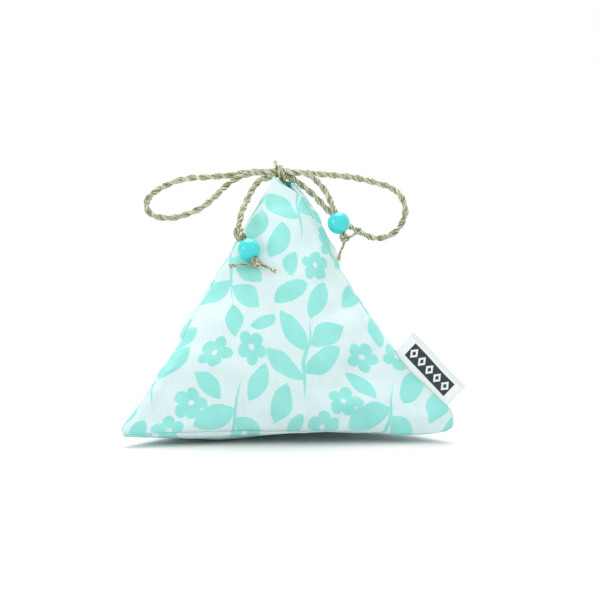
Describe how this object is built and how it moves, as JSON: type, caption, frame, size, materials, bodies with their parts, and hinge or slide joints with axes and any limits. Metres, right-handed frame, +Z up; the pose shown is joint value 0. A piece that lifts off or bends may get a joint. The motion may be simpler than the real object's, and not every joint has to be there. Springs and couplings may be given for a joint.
{
  "type": "scented sachet",
  "caption": "Stuffed four-cornered cotton sachet with a twisted cord tied in a bow through its tip, a bead on each cord tail and a folded ribbon label in the side seam.",
  "frame": {"origin": "on the floor under the tip, in the middle of the flat face that the sachet rests on", "axes": "+X to the right of the sachet seen from the front, +Y away from the front panel, +Z up"},
  "size_m": [0.1173, 0.1023, 0.0967],
  "materials": {
    "printed_canvas": "plain weave cotton canvas, white with a turquoise print",
    "dried_filling": "loose dried flowers",
    "natural_cord": "two-ply twisted natural fibre",
    "glossy_bead": "polished",
    "woven_ribbon": "satin woven ribbon"
  },
  "bodies": {
    "bag": {"front_panel": "printed_canvas", "right_panel": "printed_canvas", "left_panel": "printed_canvas", "base_panel": "printed_canvas", "scented_filling": "dried_filling", "anchor_knot": "natural_cord", "bow_knot": "natural_cord", "cord_wrap": "natural_cord"},
    "label": {"side_label": "woven_ribbon"},
    "left_loop": {"left_loop_cord": "natural_cord"},
    "right_loop": {"right_loop_cord": "natural_cord"},
    "left_tail": {"left_tail_cord": "natural_cord", "left_stop_knot": "natural_cord", "left_end_knot": "natural_cord", "left_strand_1": "natural_cord", "left_strand_2": "natural_cord"},
    "left_bead": {"left_bead": "glossy_bead"},
    "right_tail": {"right_tail_cord": "natural_cord", "right_end_knot": "natural_cord", "right_strand_1": "natural_cord", "right_strand_2": "natural_cord"},
    "right_bead": {"right_bead": "glossy_bead"}
  },
  "joints": [
    {"name": "label_flap", "type": "hinge", "parent": "bag", "child": "label", "pos_m": [0.04865, -0.02234, 0.02225], "axis": [0.6609, -0.3014, -0.6873], "range_deg": [-45, 45]},
    {"name": "left_loop_lift", "type": "hinge", "parent": "bag", "child": "left_loop", "pos_m": [-0.00565, 0.0019, 0.09321], "axis": [0, 1, 0], "range_deg": [-10, 60]},
    {"name": "right_loop_lift", "type": "hinge", "parent": "bag", "child": "right_loop", "pos_m": [0.00485, 0.0019, 0.09291], "axis": [0, -1, 0], "range_deg": [-10, 60]},
    {"name": "left_tail_swing", "type": "hinge", "parent": "bag", "child": "left_tail", "pos_m": [-0.00565, 0.0013, 0.09101], "axis": [-1, 0, 0], "range_deg": [0, 60]},
    {"name": "left_bead_spin", "type": "hinge", "parent": "left_tail", "child": "left_bead", "pos_m": [-0.0111, -0.02, 0.06611], "axis": [0.4752, -0.3835, -0.7919], "continuous": true},
    {"name": "right_tail_swing", "type": "hinge", "parent": "bag", "child": "right_tail", "pos_m": [0.00485, -0.0015, 0.09291], "axis": [-1, 0, 0], "range_deg": [0, 60]},
    {"name": "right_bead_spin", "type": "hinge", "parent": "right_tail", "child": "right_bead", "pos_m": [0.0203, -0.0081, 0.07511], "axis": [0.348, -0.1326, -0.9281], "continuous": true}
  ]
}
